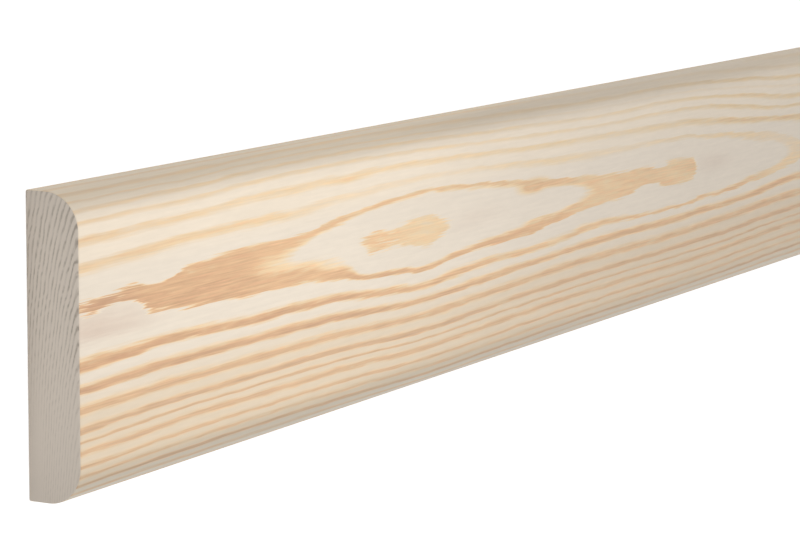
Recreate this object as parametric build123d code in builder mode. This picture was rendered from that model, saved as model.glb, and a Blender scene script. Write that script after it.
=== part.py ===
"""Pine cover strip: one planed moulding, flat on its back, with both edges of its face rounded.

The strip lies on its flat back with its moulded face up. X runs along its length, Y across its
width and Z through its thickness. The origin is the centre of the flat back. Sizes are millimetres.
"""

import os

from build123d import *

# Driving dimensions of the planed moulding
LENGTH = 2400.0
WIDTH = 60.0
THICKNESS = 12.0
# Round of the two long edges of the face, cut by the moulder
FACE_EDGE_RADIUS = 7.5

# The section stands at the near end, square to the length
near_end = Plane.YZ.offset(-LENGTH / 2)

with BuildPart() as cover_strip:
    with BuildSketch(near_end) as section:
        # The flat back is the section's base line, so the back lies at Z = 0
        Rectangle(WIDTH, THICKNESS, align=(Align.CENTER, Align.MIN))
        face_corners = section.vertices().group_by(Axis.Y)[-1]
        fillet(face_corners, FACE_EDGE_RADIUS)
    # Both ends are square crosscuts, so a straight extrusion is the whole strip
    extrude(amount=LENGTH)

cover_strip.part.label = "cover_strip"

os.makedirs("parts", exist_ok=True)
export_step(cover_strip.part, "parts/cover_strip.step")
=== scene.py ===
# %% [markdown]
# # A planed pine cover strip
#
# The object is one length of softwood moulding, 60 mm wide and 12 mm thick, lying on its flat back.
# The moulder planed its face, rounded both long edges of that face, and cut its ends square. All its
# character is in the wood: it was sawn flat to the annual rings, so the face shows the tall pointed
# figures that carpenters call cathedrals, the edges show close parallel lines, and the end shows
# the rings themselves.
#
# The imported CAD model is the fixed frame. It gives the strip's place and sizes, and nothing here
# moves it.

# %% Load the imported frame
import math
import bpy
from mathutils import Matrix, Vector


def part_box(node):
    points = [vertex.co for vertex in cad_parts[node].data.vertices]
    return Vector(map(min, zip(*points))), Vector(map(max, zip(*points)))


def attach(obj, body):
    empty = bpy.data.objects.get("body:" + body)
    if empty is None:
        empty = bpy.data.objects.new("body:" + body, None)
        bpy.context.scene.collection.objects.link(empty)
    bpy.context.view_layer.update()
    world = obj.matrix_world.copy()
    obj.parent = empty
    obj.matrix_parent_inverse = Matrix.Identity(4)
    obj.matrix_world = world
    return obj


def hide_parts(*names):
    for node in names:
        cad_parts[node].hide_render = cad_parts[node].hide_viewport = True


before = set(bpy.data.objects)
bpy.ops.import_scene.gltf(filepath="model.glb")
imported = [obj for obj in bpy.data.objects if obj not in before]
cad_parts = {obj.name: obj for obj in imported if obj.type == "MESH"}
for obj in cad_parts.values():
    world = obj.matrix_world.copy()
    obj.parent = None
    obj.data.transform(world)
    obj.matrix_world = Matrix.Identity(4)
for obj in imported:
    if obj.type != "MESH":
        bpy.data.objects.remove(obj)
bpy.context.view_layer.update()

from types import SimpleNamespace

import bpy
from mathutils import Matrix, Vector

STRIP = "cover_strip"
low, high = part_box(STRIP)
length = high.x - low.x
width = high.y - low.y
thickness = high.z - low.z
print(f"the strip is {length * 1000:.0f} x {width * 1000:.0f} x {thickness * 1000:.0f} mm")

# %% [markdown]
# ## The camera
#
# A camera's place can be found from a picture of a thing with straight parallel edges: the edges of
# the strip run to one point far off to the right, and its end shows its true proportions. A pinhole
# camera fitted to them stands half a metre in front of the near end, low over the floor, and is
# rolled nearly a quarter turn, so that the strip's width stands upright in the picture. The place
# is measured in millimetres from the near end's lower back corner. Two directions say how the
# camera is turned: where it looks, and where its right side points.

# %% Place the camera
MM = 0.001
CAMERA_FROM_CORNER = Vector((-490.4, 135.62, 348.72)) * MM
CAMERA_LOOKS = Vector((0.86757, -0.14908, -0.47444)).normalized()
CAMERA_RIGHT = Vector((0.48046, 0.00504, 0.877)).normalized()
FOCAL_LENGTH_PX = 3198.45
PICTURE_WIDTH_PX = 800

camera_data = bpy.data.cameras.new("camera")
camera_data.sensor_fit = "HORIZONTAL"
camera_data.lens = camera_data.sensor_width * FOCAL_LENGTH_PX / PICTURE_WIDTH_PX
camera = bpy.data.objects.new("camera", camera_data)
camera_up = CAMERA_RIGHT.cross(CAMERA_LOOKS)
turn = Matrix((CAMERA_RIGHT, camera_up, -CAMERA_LOOKS)).transposed()
camera.matrix_world = Matrix.Translation(low + CAMERA_FROM_CORNER) @ turn.to_4x4()
bpy.context.scene.collection.objects.link(camera)
bpy.context.scene.camera = camera
print(f"the lens is {camera_data.lens:.1f} mm")

# %% [markdown]
# ## Writing node trees as sums
#
# A shader or a Geometry Nodes tree is easier to read as formulas than as boxes and wires. Wire holds
# one output socket. Python's operators on it add Math nodes, so `1 - mask` works as it does on
# numbers. Every other kind of node comes from its `add` method.

# %% Wire, one output socket with Python's operators
class Wire:
    """One output socket of a node tree, which Python's operators turn into Math nodes."""

    def __init__(self, tree, socket=None):
        self.tree = tree
        self.socket = socket

    def add(self, kind, settings=None, sockets=None, out=0):
        """Adds a node of this kind: its settings first, then its sockets, by name or number."""
        node = self.tree.nodes.new(kind)
        for name, value in (settings or {}).items():
            if name == "points":
                set_points(node.mapping, value)
            else:
                setattr(node, name, value)
        for name, value in (sockets or {}).items():
            if isinstance(value, Wire):
                self.tree.links.new(value.socket, node.inputs[name])
            elif value is not None:
                node.inputs[name].default_value = value

        return Wire(self.tree, node.outputs[out])

    def math(self, operation, *values):
        sockets = dict(enumerate((self, *values)))
        return self.add("ShaderNodeMath", {"operation": operation}, sockets)

    def __add__(self, other):
        return self.math("ADD", other)

    __radd__ = __add__

    def __mul__(self, other):
        return self.math("MULTIPLY", other)

    __rmul__ = __mul__

    def __sub__(self, other):
        return self.math("SUBTRACT", other)

    def __rsub__(self, other):
        return self.start(other).math("SUBTRACT", self)

    def __truediv__(self, other):
        return self.math("DIVIDE", other)

    def __rtruediv__(self, other):
        return self.start(other).math("DIVIDE", self)

    def __pow__(self, other):
        return self.math("POWER", other)

    def __gt__(self, other):
        return self.math("GREATER_THAN", other)

    def __lt__(self, other):
        return self.math("LESS_THAN", other)

    def __abs__(self):
        return self.math("ABSOLUTE")

    def start(self, number):
        """A number as the first term of a sum: number + 0, on a Math node of its own."""
        return self.add("ShaderNodeMath", {"operation": "ADD"}, {0: number, 1: 0.0})

    def ramp(self, start, end, low=0.0, high=1.0):
        """A smooth step from low at start to high at end."""
        settings = {"interpolation_type": "SMOOTHSTEP"}
        sockets = {"Value": self, "From Min": start, "From Max": end, "To Min": low, "To Max": high}
        return self.add("ShaderNodeMapRange", settings, sockets)

    def curve(self, points):
        """A smooth curve through (place, value) points, level before the first and after the last."""
        places = [place for place, value in points]
        values = [value for place, value in points]
        first, span = places[0], places[-1] - places[0]
        least, rise = min(values), max(values) - min(values)
        unit = [((place - first) / span, (value - least) / rise) for place, value in points]
        where = (self - first) / span
        drawn = self.add("ShaderNodeFloatCurve", {"points": unit}, {"Value": where})
        return drawn * rise + least


def set_points(mapping, points):
    """Gives a curve node its (place, value) points, both from 0 to 1, and keeps it level past them."""
    mapping.extend = "HORIZONTAL"
    line = mapping.curves[0]
    for spare in list(line.points)[2:]:
        line.points.remove(spare)
    line.points[0].location = points[0]
    line.points[1].location = points[-1]
    for place, value in points[1:-1]:
        line.points.new(place, value)
    mapping.update()


print("Wire is ready")

# %% [markdown]
# ## Colours as a picture editor gives them
#
# Colours are easier to judge as 0 to 255 numbers read with a colour picker. Blender works in linear
# light, so each is converted once here.

# %% Convert a picked colour to linear light
def to_linear(share):
    """One channel's share of full light, from a picture's scale to linear light."""
    if share <= 0.04045:
        return share / 12.92
    return ((share + 0.055) / 1.055) ** 2.4


def picked(red, green, blue):
    """A colour read from a picture, as Blender's linear colour with full alpha."""
    return (*[to_linear(channel / 255) for channel in (red, green, blue)], 1.0)


print("pale wood in linear light:", [round(channel, 3) for channel in picked(243, 229, 209)])

# %% [markdown]
# ## Where a point lies in the wood
#
# Object coordinates say where a point is in the strip itself, so the grain is a solid pattern: it
# runs round the edges without a seam, as in real wood. A flat picture wrapped on the strip would
# show one. The coordinates are read in millimetres: how far along from the near end, how far across
# from the lower edge, and how deep under the face.

# %% Millimetres along, across and deep
def in_millimetres(tree):
    """How far a point is along the strip, across it and under its face, in millimetres."""
    place = Wire(tree).add("ShaderNodeTexCoord", out="Object")
    x, y, z = (place.add("ShaderNodeSeparateXYZ", None, {0: place}, out) for out in range(3))
    deep = (high.z - z) * 1000
    return (x - low.x) * 1000, (y - low.y) * 1000, deep.math("MAXIMUM", 0.0)


print("lengths in the grain are millimetres")

# %% Random variation in the wood
# Each is: its length along the grain and its width across it in millimetres, its detail and roughness
variations = {
    "waver": (34.0, 7.0, 2.0, 0.5),
    "ripple": (9.0, 4.0, 1.0, 0.5),
    "fray": (11.0, 0.45, 2.0, 0.5),
    "streak": (18.0, 0.8, 2.0, 0.5),
    "fleck": (5.0, 1.0, 2.0, 0.5),
    "mottle": (14.0, 2.2, 3.0, 0.6),
    "cloud": (60.0, 9.0, 1.0, 0.5),
    "thread": (14.0, 0.35, 1.0, 0.5),
}


def noise(tree, x, y, z, detail=1.0, roughness=0.5):
    """A soft random number from 0 to 1 that depends on x, y and z, about one blob a unit."""
    place = Wire(tree).add("ShaderNodeCombineXYZ", None, {0: x, 1: y, 2: z})
    sockets = {"Vector": place, "Scale": 1.0, "Detail": detail, "Roughness": roughness}
    return place.add("ShaderNodeTexNoise", None, sockets)


def vary(spot, kind):
    """One kind of variation at a spot in the wood, from about -0.5 to 0.5."""
    long, wide, detail, roughness = variations[kind]
    place = (spot.along / long, spot.off / wide, spot.deep / wide)
    return noise(spot.tree, *place, detail, roughness) - 0.5


print("the wood varies by", ", ".join(variations))

# %% [markdown]
# ## The annual rings
#
# Each year a tree adds a wide pale band of earlywood and then a narrow dark band of latewood, which
# ends sharply. A Wave texture makes rings too, but its even ones can't follow a real board. A ring
# count can: it rises by one from each year's end to the next. On this face it is lowest on a centre
# line and grows to both sides, and how it changes along that line draws the cathedrals. Where the
# count stays inside a latewood band, the whole centre is a tan flame, and where it dips below the
# next band, that one shows as an island.
#
# The curves below were read on the picture. Past its edge they give way to slow wanders, so
# the rest of the strip shows more of the same figure.

# %% Guides along the strip, in millimetres from the near end
CENTRE_LINE = 37.3  # how far from the lower edge the figure's centre line is meant to lie
# How far it wanders from there towards the upper edge
centre_wander = [
    (0, 0.1), (40, 0.1), (60, 0.1), (80, -0.3), (100, -0.1), (112, -0.6), (128, -0.3), (137, -0.7),
    (160, -0.5), (180, -0.8), (200, -1.2), (220, -1.3), (235, -1.6), (285, -1.7), (300, -2.2),
    (320, -2.8), (340, -3.2), (350, -4.0), (360, -4.6), (400, -4.8),
]
# How far the rings near the figure wander the same way, on its upper side and on its lower side
inner_above = [
    (0, -0.3), (20, 0.1), (40, 0.3), (60, 0.2), (80, 0.0), (95, 0.15), (103, -0.5), (110, -0.9),
    (117, -0.4), (125, -0.3), (160, -0.3), (180, -0.8), (200, -1.3), (230, -1.7), (250, -2.5),
    (270, -3.0), (290, -3.6), (310, -4.9), (330, -6.8), (350, -8.4), (400, -9.0),
]
inner_below = [
    (0, -2.0), (20, -0.8), (40, 0.1), (60, -0.25), (88, 0.0), (103, 0.6), (110, 0.55), (120, 0.1),
    (127, 0.0), (134, -0.6), (140, -0.55), (147, -0.1), (155, 0.0), (165, -0.15), (180, -0.6),
    (200, -1.4), (215, -0.7), (230, 0.1), (245, -0.1), (260, -0.75), (285, -0.6), (305, -1.3),
    (340, -2.3), (400, -3.4),
]
# The same for the rings farther out
outer_above = [
    (0, -0.4), (20, -0.2), (45, 0.05), (60, 0.65), (100, 0.8), (120, 0.25), (140, -0.3),
    (160, -0.9), (200, -1.9), (230, -2.65), (270, -2.75), (290, -3.1), (310, -4.3), (330, -5.3),
    (350, -6.6), (400, -8.0),
]
outer_below = [
    (0, -1.5), (20, -1.0), (40, -0.65), (60, -0.65), (80, -0.65), (100, -0.75), (125, -1.45),
    (142, -1.7), (160, -1.45), (180, -0.95), (210, -0.65), (240, -0.55), (290, -0.6), (320, -0.2),
    (340, 0.3), (400, 0.5),
]
# The ring count on the centre line, where -1 to 0 is the year that draws the figure
ring_at_centre = [
    (0, -0.06), (10, -0.09), (20, -0.13), (30, -0.19), (36, -0.24), (45, -0.27), (52, -0.31),
    (60, -0.36), (70, -0.355), (80, -0.35), (90, -0.47), (99, -0.66), (104, -0.83), (108, -0.97),
    (112, -1.04), (122, -1.08), (131, -1.15), (138, -1.18), (144, -1.10), (152, -0.98),
    (162, -0.84), (180, -0.66), (192, -0.50), (202, -0.39), (220, -0.28), (236, -0.20),
    (265, -0.18), (280, -0.20), (286.5, -0.15), (291, 0.01), (300, 0.10), (310, 0.17), (320, 0.30),
    (330, 0.44), (340, 0.53), (350, 0.64), (360, 0.78), (368, 0.90), (380, 1.02), (400, 1.05),
]
print(f"{len(ring_at_centre)} points guide the figure's centre")

# %% How the ring count grows with the distance from the centre line, in millimetres
rings_above = [
    (0, 0), (2, 0.06), (5, 0.3), (9.1, 0.85), (11.8, 1.34), (16.1, 2.3), (18.75, 3.3), (21.1, 4.3),
    (22.9, 5.3), (26.1, 6.3), (29.8, 7.3), (34, 8.3), (40, 10), (60, 15),
]
rings_below = [
    (0, 0), (2, 0.06), (5, 0.3), (9.1, 0.83), (12.1, 1.4), (15.75, 2.3), (19.9, 3.3), (22.75, 4.3),
    (24.4, 5.3), (27.35, 6.3), (29.4, 7.3), (31.4, 8.3), (33.45, 9.3), (40, 12), (60, 20),
]
print(f"the rings lie {rings_above[5][0] - rings_above[4][0]:.1f} mm apart above the figure")

# %% Local swellings in the rings
# Each is: along and across from the near end's lower corner, half its length and half its width, all
# in millimetres, and how much the count rises there
swellings = [
    (-4, 35.6, 12, 3.0, 0.12),
    (14, 35.6, 13, 3.2, 0.25),
    (28.5, 41.2, 10, 2.6, 0.24),
    (84, 37.9, 32, 5.6, -0.31),
    (94, 33.6, 12, 2.0, -0.15),
    (103, 51.9, 14, 2.5, 0.22),
    (112, 34.5, 5, 1.8, -0.05),
    (114, 38.2, 9, 2.6, -0.07),
    (208, 36.3, 32, 4.2, -0.34),
    (258, 33.4, 13, 1.8, 0.22),
    (266, 38.4, 8, 1.5, 0.15),
    (342, 34.0, 24, 4.6, -0.42),
    (354, 25.0, 26, 3.0, 0.28),
]


def swelling(spot, place):
    """A smooth local rise, from its full height in the middle of an oval to nothing at its rim."""
    x0, y0, half_length, half_width, rise = place
    reach = ((spot.along - x0) / half_length) ** 2 + ((spot.across - y0) / half_width) ** 2
    return (1 - reach ** 0.5).ramp(0.0, 1.0) * rise


print(len(swellings), "swellings")

# %% Follow a guide, and wander on past its end
# Each is: a seed, the period of the wander in millimetres, and its reach in millimetres or in rings
CENTRE_ROAM = (3.1, 190.0, 3.0)
ABOVE_ROAM = (17.3, 210.0, 4.0)
BELOW_ROAM = (29.7, 230.0, 3.0)
COUNT_ROAM = (41.9, 150.0, 1.1)
HAND_OVER = (375.0, 470.0)  # where along the strip the guides give way to their wanders


def guide(spot, points, roam):
    """Follows the points that were read from the picture, then wanders on from the last one."""
    seed, period, reach = roam
    near = spot.along.curve(points)
    wander = (noise(spot.tree, spot.along / period, seed, 0.0) - 0.5) * (4 * reach)
    far = wander + points[-1][1] * 0.5
    return near + (far - near) * spot.along.ramp(*HAND_OVER)


def bell(distance, half_width):
    """1 at no distance, a half at half_width, and then soon nothing."""
    return 1 / (1 + (distance / half_width) ** 4)


print("guides hold for the first", HAND_OVER[0], "mm")

# %% Find a spot's place in the tree
LEAN = 0.19  # under the face the rings lean outwards, by this many millimetres at 1 mm deep
LEAN_POWER = 1.55
LEAN_TURNS = 12.0  # the lean is full this far from the centre line, and turns round between
BACK_DEPTH = round(thickness * 1000, 3)
TIP_SLIDE = 150.0  # how far a figure's tip has slid along the strip when it comes out at the back


def find_spot(tree):
    """Where a point of the strip lies among the rings: along the grain, off its centre, and deep."""
    along, across, deep = in_millimetres(tree)
    off = across - CENTRE_LINE
    lean = deep ** LEAN_POWER * LEAN
    off = off + lean * off.ramp(-LEAN_TURNS, LEAN_TURNS, -1.0, 1.0)
    along = along - (deep / BACK_DEPTH) ** 3 * TIP_SLIDE
    return SimpleNamespace(tree=tree, along=along, across=off + CENTRE_LINE, off=off, deep=deep)


print("at the back the rings lean out by", round(BACK_DEPTH ** LEAN_POWER * LEAN, 1), "mm")

# %% Count the rings at a spot
CENTRE_REACH = 6.5  # rings within about this distance follow the centre line's wander
COUNT_REACH = 12.0  # and within this one they feel the count on it
OUTER_FROM = (9.0, 16.0)  # where the outer guides take over from the inner ones
WAVER = 0.8  # how much the rings waver and ripple, in millimetres
RIPPLE = 0.5
FRAY = 0.26  # how much single fibres fray them, in rings


def count_rings(spot):
    """Adds to a spot which side of the centre it is on, how far off, its year, and the part of it."""
    bent = spot.off + vary(spot, "waver") * WAVER + vary(spot, "ripple") * RIPPLE
    middle = guide(spot, centre_wander, CENTRE_ROAM)
    above = bent > middle
    inner_down = guide(spot, inner_below, BELOW_ROAM)
    outer_down = guide(spot, outer_below, BELOW_ROAM)
    inner = inner_down + (guide(spot, inner_above, ABOVE_ROAM) - inner_down) * above
    outer = outer_down + (guide(spot, outer_above, ABOVE_ROAM) - outer_down) * above
    side = inner + (outer - inner) * abs(bent).ramp(*OUTER_FROM)
    hold = bell(abs(bent), CENTRE_REACH)
    distance = abs(bent - (middle * hold + side * (1 - hold)))

    below_count = distance.curve(rings_below)
    count = below_count + (distance.curve(rings_above) - below_count) * above
    centre = guide(spot, ring_at_centre, COUNT_ROAM)
    count = count + centre * bell(distance, COUNT_REACH) + vary(spot, "fray") * FRAY
    for place in swellings:
        count = count + swelling(spot, place)
    spot.above = above
    spot.distance = distance
    spot.year = count.math("FLOOR")
    spot.part = count - spot.year
    return spot


print("the ring count is ready")

# %% [markdown]
# ## The wood along the grain
#
# Through a year the pale earlywood turns honey, then amber and tan, and stops sharply where the next
# year begins. One colour ramp over the count would paint every year alike. Here each year has a
# strength of its own on either side of the figure, and that strength changes along the strip, so a
# weak year stays honey and a strong one reaches tan. Broad years end in soft fringes and thin ones
# in crisp lines, fibres streak them all, and a few patches of the wood are a little pink. The planer
# leaves a dull, slightly silky surface.

# %% Colours of the long grain
EARLY = picked(237, 224, 206)
EARLY_ABOVE = picked(242, 227, 206)
EARLY_BELOW = picked(228, 209, 183)
EARLY_LOW_EDGE = picked(230, 218, 199)
HONEY = picked(242, 213, 171)
AMBER = picked(232, 190, 146)
TAN = picked(211, 167, 128)
DULL_TAN = picked(200, 170, 140)
# These are multiplied over the wood: the pink patches, the latewood right at the end, all the wood
# farther along (partly painted shade and cooler light, partly the wood's own grey drift), the upper
# edge (a warmer tone, and painted shade that deepens farther along), and the duller lines outside
# the figure
PINKISH = picked(239, 231, 229)
STAINED = picked(246, 243, 248)
# Partly painted shade: all the wood a little darker and greyer farther from the lamp, partly its own
# drift
GREY_DRIFT_AND_SHADE = picked(250, 250, 251)
EDGE_WARM = picked(255, 252, 246)
# Painted shade: the upper edge is made a little darker farther along the strip
EDGE_PAINTED_SHADE = picked(243, 243, 243)
DULL_NEAR = picked(244, 241, 243)
DULL_FAR = picked(243, 249, 253)
print("from", [round(share, 2) for share in EARLY[:3]], "to", [round(share, 2) for share in TAN[:3]])

# %% How strong each year's latewood is
# By the count at which the year starts: -1 draws the figure, 0 is the next line out, and so on
FIGURE_YEAR = -1
NEXT_YEAR = 0
strength_above = [
    (-1, 0.62), (0, 0.42), (1, 0.37), (2, 0.31), (3, 0.3), (4, 0.22), (5, 0.3), (8, 0.3),
]
strength_below = [
    (-1, 1.0), (0, 0.93), (1, 0.97), (2, 0.8), (3, 0.95), (4, 0.82), (5, 0.78), (6, 0.76),
    (7, 0.62), (8, 1.0), (10, 0.7), (14, 0.7),
]
print("the figure's year is", strength_below[0][1], "strong, the next one", strength_below[1][1])

# %% How that strength changes along the strip, in millimetres from the near end
# For all years, for those outside the figure, for the figure's own, and for the line just above it
strength_along = [
    (0, 1.0), (90, 1.0), (150, 0.86), (200, 0.72), (240, 0.56), (330, 0.52), (352, 0.3), (385, 0.5),
    (430, 0.85), (500, 0.85),
]
fade_outside = [(0, 1.0), (150, 0.92), (200, 0.86), (250, 0.86), (350, 0.85), (500, 0.9)]
strength_centre = [
    (0, 1.25), (15, 1.12), (30, 1.0), (50, 0.97), (62, 0.9), (78, 0.78), (92, 0.84), (110, 1.0),
    (215, 1.0), (230, 0.87), (245, 1.0), (300, 1.0),
]
second_above = [
    (0, 0.85), (50, 0.9), (65, 1.0), (80, 0.65), (110, 0.5), (150, 0.45), (175, 0.8), (215, 0.9),
    (240, 0.8), (290, 1.3), (330, 0.9),
]
# How dull the lines above the figure are, where 1 is DULL_NEAR laid on once
dull_along = [(0, 2.0), (15, 1.8), (45, 0.8), (100, 0.3), (160, 0.0)]
print("past the picture's edge the strength stays at", strength_along[-1][1])

# %% Where along the strip the lines change their manner, in millimetres
UPPER_ARM_THINS = (74.0, 92.0)  # the flame's upper arm narrows to a line
LOWER_ARM_THINS = (98.0, 112.0)
ARMS_WIDEN = (206.0, 236.0)  # and both widen again into the next flame
NEXT_LINE_THINS = (215.0, 260.0)
NEXT_LINE_WIDENS = (338.0, 356.0)
LOWER_LINE_DARKENS = (190.0, 250.0)
UPPER_LINES_DARKEN = (250.0, 320.0)
FAINT_LINES_FADE = (120.0, 250.0)
STAIN_ENDS = (8.0, 26.0)
LOWER_LINES_CLEAR = (60.0, 160.0)
UPPER_LINES_COOL = (120.0, 220.0)
# Where the grey drift and painted shade of all the wood set in
DRIFT_AND_SHADE_ALONG = (100.0, 210.0)
# Where the painted shade on the upper edge sets in
EDGE_SHADE_DEEPENS = (90.0, 180.0)
# Patches of latewood and of pink. Each is: along, across, half its length, half its width, its strength
thick_latewood = [
    (192, 41.0, 12, 2.6, 1.1),
]
MOST_IN_PATCH = 0.7
pink_patches = [
    (6, 33.0, 30, 6.5, 1.0),
    (165, 36.5, 26, 5.0, 0.3),
    (302, 36.0, 20, 4.5, 0.4),
]


def patches(spot, places):
    """The sum of some soft oval patches."""
    total = swelling(spot, places[0])
    for place in places[1:]:
        total = total + swelling(spot, place)
    return total


print(len(pink_patches), "pink patches")

# %% Mix colours and start a material
def blend(tree, factor, first, second, way="MIX"):
    """Mixes two colours, or lays the second over the first in another way."""
    settings = {"data_type": "RGBA", "blend_type": way}
    return Wire(tree).add("ShaderNodeMix", settings, {0: factor, 6: first, 7: second}, 2)


def new_material(name):
    """A new material with its node tree and its Principled shader."""
    material = bpy.data.materials.new(name)
    material.use_nodes = True
    return material, material.node_tree, material.node_tree.nodes["Principled BSDF"]


print("colours mix in nodes of their own")

# %% How strong the latewood is at a spot
ALIKE_WITHIN = 5.0  # this near the centre line, the upper side is as strong as the lower one
OUTSIDE = 0.5  # the years from this count on lie outside the figure and the line next to it
FAINT_FROM = 3.5  # above the figure, lines from this count on fade away, all but one
KEPT_YEAR = 5
UPPER_LINES_GAIN = 0.6
LOWER_LINE_GAIN = 0.2
FAINT_LINES_LOSE = 0.6
CLOUDS = 0.4
ISLAND_LOSES = 0.41  # an island is paler than the flames, except at its rim
ISLAND_RIM = (0.9, 0.98)
ISLAND_RIM_KEEPS = 0.1


def in_year(spot, number):
    """1 in this year, else 0."""
    return abs(spot.year - number) < 0.5


def change_along(spot):
    """How much stronger or weaker a year's latewood is here than its table says."""
    figure = in_year(spot, FIGURE_YEAR)
    next_out = in_year(spot, NEXT_YEAR)
    outside = spot.year > OUTSIDE
    faint = (spot.year > FAINT_FROM) * (1 - in_year(spot, KEPT_YEAR)) * spot.above
    change = spot.along.curve(strength_along)
    change = change + (spot.along.curve(fade_outside) - change) * outside
    change = change * (1 + (spot.along.curve(strength_centre) - 1) * figure)
    change = change * (1 + (spot.along.curve(second_above) - 1) * next_out * spot.above)
    upper_lines = outside * spot.above * spot.along.ramp(*UPPER_LINES_DARKEN)
    lower_line = next_out * (1 - spot.above) * spot.along.ramp(*LOWER_LINE_DARKENS)
    faint_lines = faint * spot.along.ramp(*FAINT_LINES_FADE)
    change = change * (1 + upper_lines * UPPER_LINES_GAIN) * (1 + lower_line * LOWER_LINE_GAIN)
    return change * (1 - faint_lines * FAINT_LINES_LOSE)


def strength_at(spot):
    """How dark the latewood gets at a spot, from 0 to about 1."""
    below = spot.year.curve(strength_below)
    upper_side = spot.above * (1 - bell(spot.distance, ALIKE_WITHIN))
    strength = below + (spot.year.curve(strength_above) - below) * upper_side
    strength = strength * change_along(spot) * (1 + vary(spot, "cloud") * CLOUDS)
    island = spot.year < FIGURE_YEAR - 0.5
    return strength - island * (ISLAND_LOSES - spot.part.ramp(*ISLAND_RIM) * ISLAND_RIM_KEEPS)


print("every year has its own strength")

# %% How thin a year's latewood is
LOWER_ARM_THIN = 0.82
UPPER_LINES_THIN = 0.3
NEXT_LINE_THIN = 0.4
NEXT_LINE_THINNER = 0.8  # added to it on the stretch where it thins
LESS_ABOVE = 0.25


def thinness(spot):
    """How far a year's latewood is drawn in to a crisp line, from 0, a broad band, to about 1."""
    next_out = in_year(spot, NEXT_YEAR)
    upper = spot.along.ramp(*UPPER_ARM_THINS) * spot.above
    lower = spot.along.ramp(*LOWER_ARM_THINS) * (1 - spot.above) * LOWER_ARM_THIN
    arms = (upper + lower) * (1 - spot.along.ramp(*ARMS_WIDEN)) * in_year(spot, FIGURE_YEAR)
    line = spot.along.ramp(*NEXT_LINE_THINS) * (1 - spot.along.ramp(*NEXT_LINE_WIDENS)) * next_out
    upper_lines = (spot.year > OUTSIDE) * spot.above
    thin = upper_lines * UPPER_LINES_THIN + next_out * NEXT_LINE_THIN + arms
    return thin + line * (NEXT_LINE_THINNER - spot.above * LESS_ABOVE)


print("a broad band is 0 thin and a crisp line about 1")

# %% Where in its year the latewood begins and ends
# The parts of a year at which latewood sets in and is full, in a broad band and in a crisp line
BROAD_RISE = (0.25, 0.68)
CRISP_RISE = (0.65, 0.83)
# The part of a year over which it ends, near the centre line and away from it
FRINGE_NEAR = 0.07
FRINGE_FAR = 0.26
FRINGE_GROWS = (4.0, 10.0)
CRISP_FRINGE_LOSES = 0.6


def latewood(spot):
    """How much latewood a spot has, from 0 to about 1, with its fibres."""
    thin = thinness(spot)
    sets_in = thin * (CRISP_RISE[0] - BROAD_RISE[0]) + BROAD_RISE[0]
    is_full = thin * (CRISP_RISE[1] - BROAD_RISE[1]) + BROAD_RISE[1]
    fringe = spot.distance.ramp(*FRINGE_GROWS, FRINGE_NEAR, FRINGE_FAR) * (1 - thin * CRISP_FRINGE_LOSES)
    end = 1 - spot.part.ramp(1 - fringe, 1.0)
    late = spot.part.ramp(sets_in, is_full) * end * strength_at(spot)
    late = late.math("MAXIMUM", patches(spot, thick_latewood).math("MINIMUM", MOST_IN_PATCH))
    late = late * (1 + spot.streak * 1.2 + spot.fleck * 0.8 + spot.mottle * 0.8)
    back_arris = spot.high_edge * spot.deep.ramp(8.0, 11.0)
    return late * (1 - spot.low_edge * 0.4) * (1 - back_arris * 0.7)


print("latewood sets in after", BROAD_RISE[0], "of a broad year and", CRISP_RISE[0], "of a crisp one")

# %% Colour the rings
HONEY_AT = 0.4  # how much latewood makes the wood honey, amber and tan
AMBER_AT = 0.7
TAN_AT = 1.15
SUNNY_FROM = (5.0, 11.0)  # in millimetres above the centre line
TANNED_FROM = (9.0, 22.0)  # and below it


def earlywood_colour(spot, tanned):
    """The pale wood: sunny above the figure, tanned below it, greyer on the lower edge."""
    colour = blend(spot.tree, spot.off.ramp(*SUNNY_FROM), EARLY, EARLY_ABOVE)
    colour = blend(spot.tree, tanned, colour, EARLY_BELOW)
    return blend(spot.tree, spot.low_edge, colour, EARLY_LOW_EDGE)


def ring_colour(spot, late):
    """From earlywood through honey and amber to tan, as the latewood rises."""
    tanned = spot.distance.ramp(*TANNED_FROM) * (1 - spot.above)
    colour = earlywood_colour(spot, tanned)
    colour = blend(spot.tree, late / HONEY_AT * (1 - tanned * 0.4), colour, HONEY)
    colour = blend(spot.tree, (late - HONEY_AT) / (AMBER_AT - HONEY_AT), colour, AMBER)
    colour = blend(spot.tree, (late - AMBER_AT) / (TAN_AT - AMBER_AT), colour, TAN)
    return blend(spot.tree, tanned * late * 0.6, colour, DULL_TAN)


print("latewood is honey from", HONEY_AT, "and tan at", TAN_AT)

# %% Tint the wood
LOWER_LINES = (-0.5, 1.5)  # the first two lines below the figure, by their counts
COOL_MORE = 1.3
PINK_UNTIL = (0.1, 0.4)  # the part of a year in which its earlywood is pink


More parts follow.
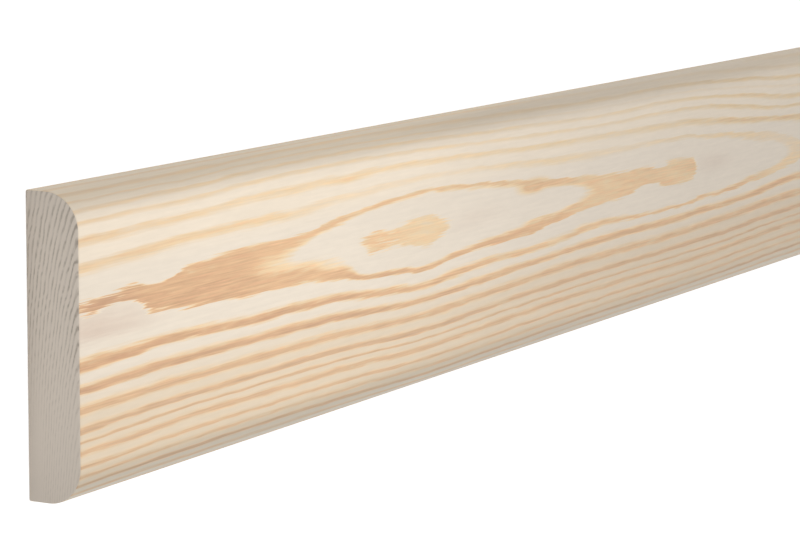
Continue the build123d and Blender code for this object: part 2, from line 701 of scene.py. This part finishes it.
def tint(spot, late, colour):
    """Lays the multiplied colours over the wood."""
    along = spot.along
    upper = spot.above * (1 - bell(spot.distance, ALIKE_WITHIN))
    first_lines = (spot.year > LOWER_LINES[0]) * (spot.year < LOWER_LINES[1])
    lower = (1 - spot.above) * first_lines * (1 - along.ramp(*LOWER_LINES_CLEAR))
    stained = in_year(spot, FIGURE_YEAR) * (1 - along.ramp(*STAIN_ENDS))
    pink = patches(spot, pink_patches) * (1 - spot.part.ramp(*PINK_UNTIL)) * (1 + spot.mottle)
    layers = [
        (late * (upper * along.curve(dull_along) + lower), DULL_NEAR),
        (late * upper * along.ramp(*UPPER_LINES_COOL) * COOL_MORE, DULL_FAR),
        (late * stained, STAINED),
        (pink, PINKISH),
        # all the wood greyer farther along: partly painted shade, partly the wood's own drift
        (along.ramp(*DRIFT_AND_SHADE_ALONG), GREY_DRIFT_AND_SHADE),
        (spot.high_edge, EDGE_WARM),
        # painted shade on the upper edge, deepening farther along
        (spot.high_edge * along.ramp(*EDGE_SHADE_DEEPENS), EDGE_PAINTED_SHADE),
    ]
    for share, layer in layers:
        colour = blend(spot.tree, share, colour, layer, "MULTIPLY")
    return colour


print("seven tints lie over the rings")

# %% Make the long grain
LOW_EDGE_ENDS = (2.0, 6.5)  # in millimetres across, from the lower edge
HIGH_EDGE_STARTS = (56.0, 60.5)
PLANED_ROUGHNESS = 0.55
LATEWOOD_GLOSS = 0.08
RELIEF_STRENGTH = 0.15
RELIEF_DEPTH = 0.0002


def make_long_grain():
    """The planed wood of the face, the edges and the back."""
    material, tree, shader = new_material("pine_long_grain")
    spot = count_rings(find_spot(tree))
    spot.streak = vary(spot, "streak")
    spot.fleck = vary(spot, "fleck")
    spot.mottle = vary(spot, "mottle")
    spot.low_edge = 1 - spot.across.ramp(*LOW_EDGE_ENDS)
    spot.high_edge = spot.across.ramp(*HIGH_EDGE_STARTS)
    late = latewood(spot)
    colour = tint(spot, late, ring_colour(spot, late))
    shade = 1 + (spot.streak * 0.1 + spot.fleck * 0.08) * (1 + late * 3)
    shade = shade + vary(spot, "thread") * late * 0.5 + vary(spot, "cloud") * 0.06
    colour = blend(tree, 1.0, colour, shade, "MULTIPLY")
    tree.links.new(colour.socket, shader.inputs["Base Color"])
    roughness = PLANED_ROUGHNESS - late * LATEWOOD_GLOSS
    tree.links.new(roughness.socket, shader.inputs["Roughness"])
    relief = {"Strength": RELIEF_STRENGTH, "Distance": RELIEF_DEPTH, "Height": spot.streak}
    bump = Wire(tree).add("ShaderNodeBump", None, relief)
    tree.links.new(bump.socket, shader.inputs["Normal"])
    return material


long_grain = make_long_grain()
print("the long grain has", len(long_grain.node_tree.nodes), "nodes")

# %% [markdown]
# ## The end grain
#
# A crosscut shows the rings as close curves, which meet the face steeply and then run nearly along
# it. The saw opens the fibres there, and the end is coloured a little greyer than the face.
# Its rings aren't plain lines: they break up into small dark beads, which stand in slanting rows
# across them. The face's ring count could be cut through here too, but its rings are bent to match
# the face, so the end has a count of its own.

# %% Colours of the end grain
END_PALE = picked(229, 217, 203)
END_DARK = picked(176, 164, 150)
END_ROUGHNESS = 0.75
print("the end's rings go down to", [round(share, 2) for share in END_DARK[:3]])

# %% Count the end's rings and cut them into beads
TURNS_OVER = 1.6  # above about this depth the rings are steep, and below it they run along the face
ROW_WIDTH = 2.6  # from one slanting row of beads to the next, across and down, in millimetres
ROW_DEPTH = 1.5
ALWAYS_SEEN = 0.3  # how dark a ring is between its beads
BEADS = 0.6
BOLDER = (10.0, 44.0, 0.25, 0.75)  # across, from and to, and how bold the rings are before and after
BOLD_CORNER = 0.4
PLAIN_CORNER = 0.9
SPECKS = 1.6


def beads(across, deep, waver):
    """The end's rings, broken by slanting rows, from 0 to about 0.9."""
    sunk = deep * deep / (deep + TURNS_OVER)
    count = sunk * (2 - across * 0.019) + across * (across * 0.0013 + 0.2) + waver * 0.9
    part = count.math("FRACT")
    ring = part.ramp(0.2, 0.45) * (1 - part.ramp(0.55, 0.85))
    row = (across / ROW_WIDTH + deep / ROW_DEPTH + waver * 4.0).math("FRACT")
    row = row.ramp(0.0, 0.45) * (1 - row.ramp(0.55, 1.0))
    return ring * (ALWAYS_SEEN + row * BEADS)


def make_end_grain():
    """The sawn ends: rings are bolder towards the upper edge, and the lower back corner is plain."""
    material, tree, shader = new_material("pine_end_grain")
    along, across, deep = in_millimetres(tree)
    waver = noise(tree, across / 7.0, deep / 2.5, 7.7, 2.0) - 0.5
    speck = noise(tree, across / 0.6, deep / 0.3, 0.0, 2.0) - 0.5
    bold = across.ramp(*BOLDER) + across.ramp(20.0, 34.0) * (1 - deep.ramp(0.5, 3.5)) * BOLD_CORNER
    plain = (1 - across.ramp(8.0, 36.0)) * deep.ramp(7.5, 9.5)
    dark = beads(across, deep, waver) * bold * (1 - plain * PLAIN_CORNER) * (1 + speck * SPECKS)
    colour = blend(tree, dark, END_PALE, END_DARK)
    tree.links.new(colour.socket, shader.inputs["Base Color"])
    shader.inputs["Roughness"].default_value = END_ROUGHNESS
    return material


end_grain = make_end_grain()
print("the end grain has", len(end_grain.node_tree.nodes), "nodes")

# %% [markdown]
# ## The strip itself
#
# A moulder is a sweep: it pushes one section along a straight line. An extruded curve or a bevelled
# box would do too, but the Geometry Nodes tree does what the machine does. It draws a rectangle,
# rounds its two upper corners, and carries it along a line with closed ends. The sizes come in as
# named inputs, so the same tree makes any strip of this family.

# %% Build the moulder's tree
def moulder_inputs(tree):
    """Gives the tree its named inputs and hands back their identifiers by name."""
    kinds = {
        "Length": "NodeSocketFloat",
        "Width": "NodeSocketFloat",
        "Thickness": "NodeSocketFloat",
        "Face Edge Radius": "NodeSocketFloat",
        "Round Segments": "NodeSocketInt",
        "Stations": "NodeSocketInt",
        "Long Grain": "NodeSocketMaterial",
        "End Grain": "NodeSocketMaterial",
    }
    made = {}
    for name, kind in kinds.items():
        made[name] = tree.interface.new_socket(name, in_out="INPUT", socket_type=kind).identifier
    tree.interface.new_socket("Geometry", in_out="OUTPUT", socket_type="NodeSocketGeometry")
    return made


def make_moulder():
    """The tree that sweeps the strip's section along its length."""
    tree = bpy.data.node_groups.new("moulder", "GeometryNodeTree")
    identifiers = moulder_inputs(tree)
    given = tree.nodes.new("NodeGroupInput")
    size = {name: Wire(tree, given.outputs[name]) for name in identifiers}
    wire = Wire(tree)

    board = wire.add(
        "GeometryNodeCurvePrimitiveQuadrilateral",
        {"mode": "RECTANGLE"},
        {"Width": size["Width"], "Height": size["Thickness"]},
    )
    up = wire.add("ShaderNodeCombineXYZ", None, {1: size["Thickness"] / 2})
    board = wire.add("GeometryNodeTransform", None, {"Geometry": board, "Translation": up})
    place = wire.add("GeometryNodeInputPosition")
    height = wire.add("ShaderNodeSeparateXYZ", None, {0: place}, 1)
    on_face = height > size["Thickness"] / 2
    section = wire.add(
        "GeometryNodeFilletCurve",
        {"mode": "POLY"},
        {"Curve": board, "Radius": on_face * size["Face Edge Radius"], "Count": size["Round Segments"]},
    )

    half = size["Length"] / 2
    near = wire.add("ShaderNodeCombineXYZ", None, {0: half * -1})
    far = wire.add("ShaderNodeCombineXYZ", None, {0: half})
    line = wire.add("GeometryNodeCurvePrimitiveLine", {"mode": "POINTS"}, {"Start": near, "End": far})
    count = {"Curve": line, "Count": size["Stations"]}
    line = wire.add("GeometryNodeResampleCurve", {"mode": "COUNT"}, count)
    line = wire.add("GeometryNodeSetCurveTilt", None, {"Curve": line, "Tilt": math.pi})
    strip = wire.add(
        "GeometryNodeCurveToMesh",
        None,
        {"Curve": line, "Profile Curve": section, "Fill Caps": True},
    )
    strip = wire.add("GeometryNodeMergeByDistance", None, {"Geometry": strip, "Distance": 1e-6})
    strip = wire.add("GeometryNodeRealizeInstances", None, {"Geometry": strip})
    normal = wire.add("GeometryNodeInputNormal")
    facing = abs(wire.add("ShaderNodeSeparateXYZ", None, {0: normal}))
    strip = wire.add("GeometryNodeSetMaterial", None, {"Geometry": strip, "Material": size["Long Grain"]})
    strip = wire.add(
        "GeometryNodeSetMaterial",
        None,
        {"Geometry": strip, "Selection": facing > 0.5, "Material": size["End Grain"]},
    )
    out = tree.nodes.new("NodeGroupOutput")
    tree.links.new(strip.socket, out.inputs[0])
    return tree, identifiers


moulder, identifiers = make_moulder()
print("the moulder takes", ", ".join(identifiers))

# %% Run the strip through the moulder
FACE_EDGE_RADIUS = 0.0075
ROUND_SEGMENTS = 16
STATIONS = 49

blank = bpy.data.objects.new("blank", bpy.data.meshes.new("blank"))
bpy.context.scene.collection.objects.link(blank)
moulding = blank.modifiers.new("moulder", "NODES")
moulding.node_group = moulder
strip_inputs = {
    "Length": length,
    "Width": width,
    "Thickness": thickness,
    "Face Edge Radius": FACE_EDGE_RADIUS,
    "Round Segments": ROUND_SEGMENTS,
    "Stations": STATIONS,
    "Long Grain": long_grain,
    "End Grain": end_grain,
}
for name, value in strip_inputs.items():
    moulding[identifiers[name]] = value
print(f"one section of {thickness * 1000:.0f} mm stock at each of", STATIONS, "stations")

# %% [markdown]
# ## Worn arrises
#
# No planed edge is as sharp as a drawn one: the two arrises of the back and the rims of the ends are
# worn by a few tenths of a millimetre and catch a thin line of light. A bump map could only fake that
# light, so a Bevel modifier cuts them. Weighted normals keep the flat faces shading flat.

# %% Wear the arrises and keep the result as a plain mesh
ARRIS = 0.0003
ARRIS_SEGMENTS = 2
ARRIS_ANGLE = math.radians(40)

bevel = blank.modifiers.new("worn arrises", "BEVEL")
bevel.width = ARRIS
bevel.segments = ARRIS_SEGMENTS
bevel.limit_method = "ANGLE"
bevel.angle_limit = ARRIS_ANGLE
bevel.material = -1
weigh = blank.modifiers.new("flat faces shade flat", "WEIGHTED_NORMAL")
weigh.keep_sharp = True

shapes = bpy.context.evaluated_depsgraph_get()
mesh = bpy.data.meshes.new_from_object(blank.evaluated_get(shapes), depsgraph=shapes)
blank.modifiers.clear()
mesh.name = "cover_strip_wood"
strip = bpy.data.objects.new("cover_strip_wood", mesh)
bpy.context.scene.collection.objects.link(strip)
bpy.data.objects.remove(blank)
print(len(mesh.vertices), "points and", len(mesh.polygons), "faces")
print("materials:", [slot.name for slot in mesh.materials])

# %% [markdown]
# ## Unrolling the strip onto a map
#
# A game or a viewer can't run these nodes, so the strip gets a square map that its finished colours
# can be baked onto. An automatic unwrap would leave the strip, forty times as long as it is wide, a
# thin thread on it. So it is unrolled like wallpaper and cut in two lanes, and the ends go side by
# side above them.

# %% Plan the bake map
LANES = 2
LANE_HEIGHT = 0.463
FACE_SHARE = 0.352
FACE_FILL = 0.98
BACK_SHARE = 0.104
BACK_FILL = 0.93
MARGIN = 0.004
END_WIDTH = 0.45
END_HEIGHT = 0.055
ENDS_FROM = (0.01, 0.94)
STEEP = 0.7  # a face whose normal points this much one way belongs to an end or to the back
FLAT_HALF = width / 2 - FACE_EDGE_RADIUS
EDGE_FLAT = thickness - FACE_EDGE_RADIUS
UNROLLED_HALF = FLAT_HALF + FACE_EDGE_RADIUS * math.pi / 2 + EDGE_FLAT
print(f"unrolled, the face and its edges are {UNROLLED_HALF * 2000:.1f} mm wide")

# %% Lay out the bake map
def round_from_middle(y, z):
    """The distance over the section's skin from the middle of the face, negative below it."""
    outward = abs(y) - FLAT_HALF
    height = z - EDGE_FLAT
    if outward <= 0:
        distance = abs(y)
    elif height >= 0:
        distance = FLAT_HALF + FACE_EDGE_RADIUS * math.atan2(outward, height)
    else:
        distance = FLAT_HALF + FACE_EDGE_RADIUS * math.pi / 2 - height
    return math.copysign(distance, y)


def place_on_map(point, centre, normal):
    """Where a corner of a face goes on the square map."""
    across = (point.y + width / 2) / width
    if abs(normal.x) > STEEP:
        side = 0.0 if centre.x < 0 else 0.5
        u = side + ENDS_FROM[0] + END_WIDTH * across
        v = ENDS_FROM[1] + END_HEIGHT * point.z / thickness
        return u, v
    lane = min(int((centre.x - low.x) / length * LANES), LANES - 1)
    u = MARGIN + (1 - 2 * MARGIN) * ((point.x - low.x) / length * LANES - lane)
    if normal.z < -STEEP:
        v = lane * LANE_HEIGHT + FACE_SHARE + 2 * MARGIN + BACK_SHARE * BACK_FILL * across
    else:
        turn = round_from_middle(point.y, point.z) / UNROLLED_HALF
        v = lane * LANE_HEIGHT + MARGIN + FACE_SHARE * FACE_FILL * (turn + 1) / 2
    return u, v


def lay_out(mesh):
    """Writes the bake map of the strip."""
    layer = mesh.uv_layers.new(name="OFBake")
    for face in mesh.polygons:
        for corner in face.loop_indices:
            point = mesh.vertices[mesh.loops[corner].vertex_index].co
            layer.data[corner].uv = place_on_map(point, face.center, face.normal)
    return layer


layer = lay_out(mesh)
us = [corner.uv.x for corner in layer.data]
vs = [corner.uv.y for corner in layer.data]
print(f"the map spans {min(us):.3f} to {max(us):.3f} and {min(vs):.3f} to {max(vs):.3f}")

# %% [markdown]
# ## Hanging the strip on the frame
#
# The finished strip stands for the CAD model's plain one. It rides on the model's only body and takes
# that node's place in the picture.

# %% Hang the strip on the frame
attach(strip, "root")
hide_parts(STRIP)
print("the strip stands for", STRIP)

# %% [markdown]
# ## The floor
#
# The strip lies on a pale studio floor. More light would turn the floor white, but the wood with it.
# So the floor glows a little for the camera and for reflections only. It looks white there, still
# takes the strip's shadow, and puts no light of its own on the wood.

# %% Lay the floor
FLOOR_HALF = 20.0
FLOOR_GAP = 0.0001

floor_mesh = bpy.data.meshes.new("floor")
corners = [(-FLOOR_HALF, -FLOOR_HALF), (FLOOR_HALF, -FLOOR_HALF)]
corners = corners + [(FLOOR_HALF, FLOOR_HALF), (-FLOOR_HALF, FLOOR_HALF)]
floor_mesh.from_pydata([(x, y, low.z - FLOOR_GAP) for x, y in corners], [], [(0, 1, 2, 3)])
floor = bpy.data.objects.new("floor", floor_mesh)
bpy.context.scene.collection.objects.link(floor)
print("the floor is", FLOOR_HALF * 2, "m wide")

# %% Paint the floor
FLOOR_GREY = 0.8
FLOOR_GLOW = 0.72
WHITE = (1, 1, 1, 1)


def seen_directly(tree):
    """1 for rays from the camera and for reflected or refracted ones, else 0."""
    ray = tree.nodes.new("ShaderNodeLightPath")
    camera_ray = Wire(tree, ray.outputs["Is Camera Ray"])
    glossy = Wire(tree, ray.outputs["Is Glossy Ray"])
    through = Wire(tree, ray.outputs["Is Transmission Ray"])
    return camera_ray.math("MAXIMUM", glossy).math("MAXIMUM", through)


def make_floor_paint():
    """Matt pale paint with a glow that only the camera and reflections see."""
    material, tree, shader = new_material("floor_paint")
    shader.inputs["Base Color"].default_value = (FLOOR_GREY, FLOOR_GREY, FLOOR_GREY, 1)
    shader.inputs["Roughness"].default_value = 1.0
    wire = Wire(tree)
    glow = wire.add("ShaderNodeEmission", None, {"Color": WHITE, "Strength": FLOOR_GLOW})
    plain = Wire(tree, shader.outputs[0])
    both = wire.add("ShaderNodeAddShader", None, {0: plain, 1: glow})
    seen = wire.add("ShaderNodeMixShader", None, {0: seen_directly(tree), 1: plain, 2: both})
    tree.links.new(seen.socket, tree.nodes["Material Output"].inputs[0])
    return material


floor_mesh.materials.append(make_floor_paint())
print("the floor is painted")

# %% [markdown]
# ## The light
#
# An even white sky gives every side of the strip the same soft light, which shows colours as they
# are written. In the picture the face is brighter than the rounded edges and fades along its
# length. A large soft lamp would light the edges as well. So a small lamp stands above the near
# end, and its own nodes cut its beam to a band that lies along the face.

# %% Raise the sky
SKY = 0.62

world = bpy.data.worlds.new("white sky")
bpy.context.scene.world = world
world.use_nodes = True
sky_tree = world.node_tree
background = sky_tree.nodes["Background"]
background.inputs["Color"].default_value = WHITE
level = seen_directly(sky_tree) * (1 - SKY) + SKY
sky_tree.links.new(level.socket, background.inputs["Strength"])
bpy.context.scene.view_settings.view_transform = "Standard"
print("the sky lights the wood at", SKY, "and looks white")

# %% Hang the lamp, in metres from the near end's lower corner and over the face
KEY_ALONG = 0.058
KEY_ACROSS = 0.03
KEY_HEIGHT = 0.237
KEY_POWER = 0.875
# Where the beam's two sides land on the face, from under the lamp, and how soft they are
POOL_LOW = -0.024
POOL_HIGH = 0.027
POOL_SOFT = 0.003

key_data = bpy.data.lights.new("key", "POINT")
key_data.shadow_soft_size = 0.0
key_data.energy = KEY_POWER
key_data.use_nodes = True
key_tree = key_data.node_tree
way = Wire(key_tree).add("ShaderNodeTexCoord", None, None, "Normal")
down = way.add("ShaderNodeSeparateXYZ", None, {0: way}, 2)
sideways = way.add("ShaderNodeSeparateXYZ", None, {0: way}, 1)
lands = sideways / abs(down) * KEY_HEIGHT
past_low = lands.ramp(POOL_LOW - POOL_SOFT, POOL_LOW + POOL_SOFT)
past_high = lands.ramp(POOL_HIGH - POOL_SOFT, POOL_HIGH + POOL_SOFT)
pool = past_low * (1 - past_high)
key_tree.links.new(pool.socket, key_tree.nodes["Emission"].inputs["Strength"])
key = bpy.data.objects.new("key", key_data)
key.location = (low.x + KEY_ALONG, low.y + KEY_ACROSS, high.z + KEY_HEIGHT)
key.visible_camera = False
key.visible_glossy = False
bpy.context.scene.collection.objects.link(key)
print("the beam is", round((POOL_HIGH - POOL_LOW) * 1000), "mm wide on the face")
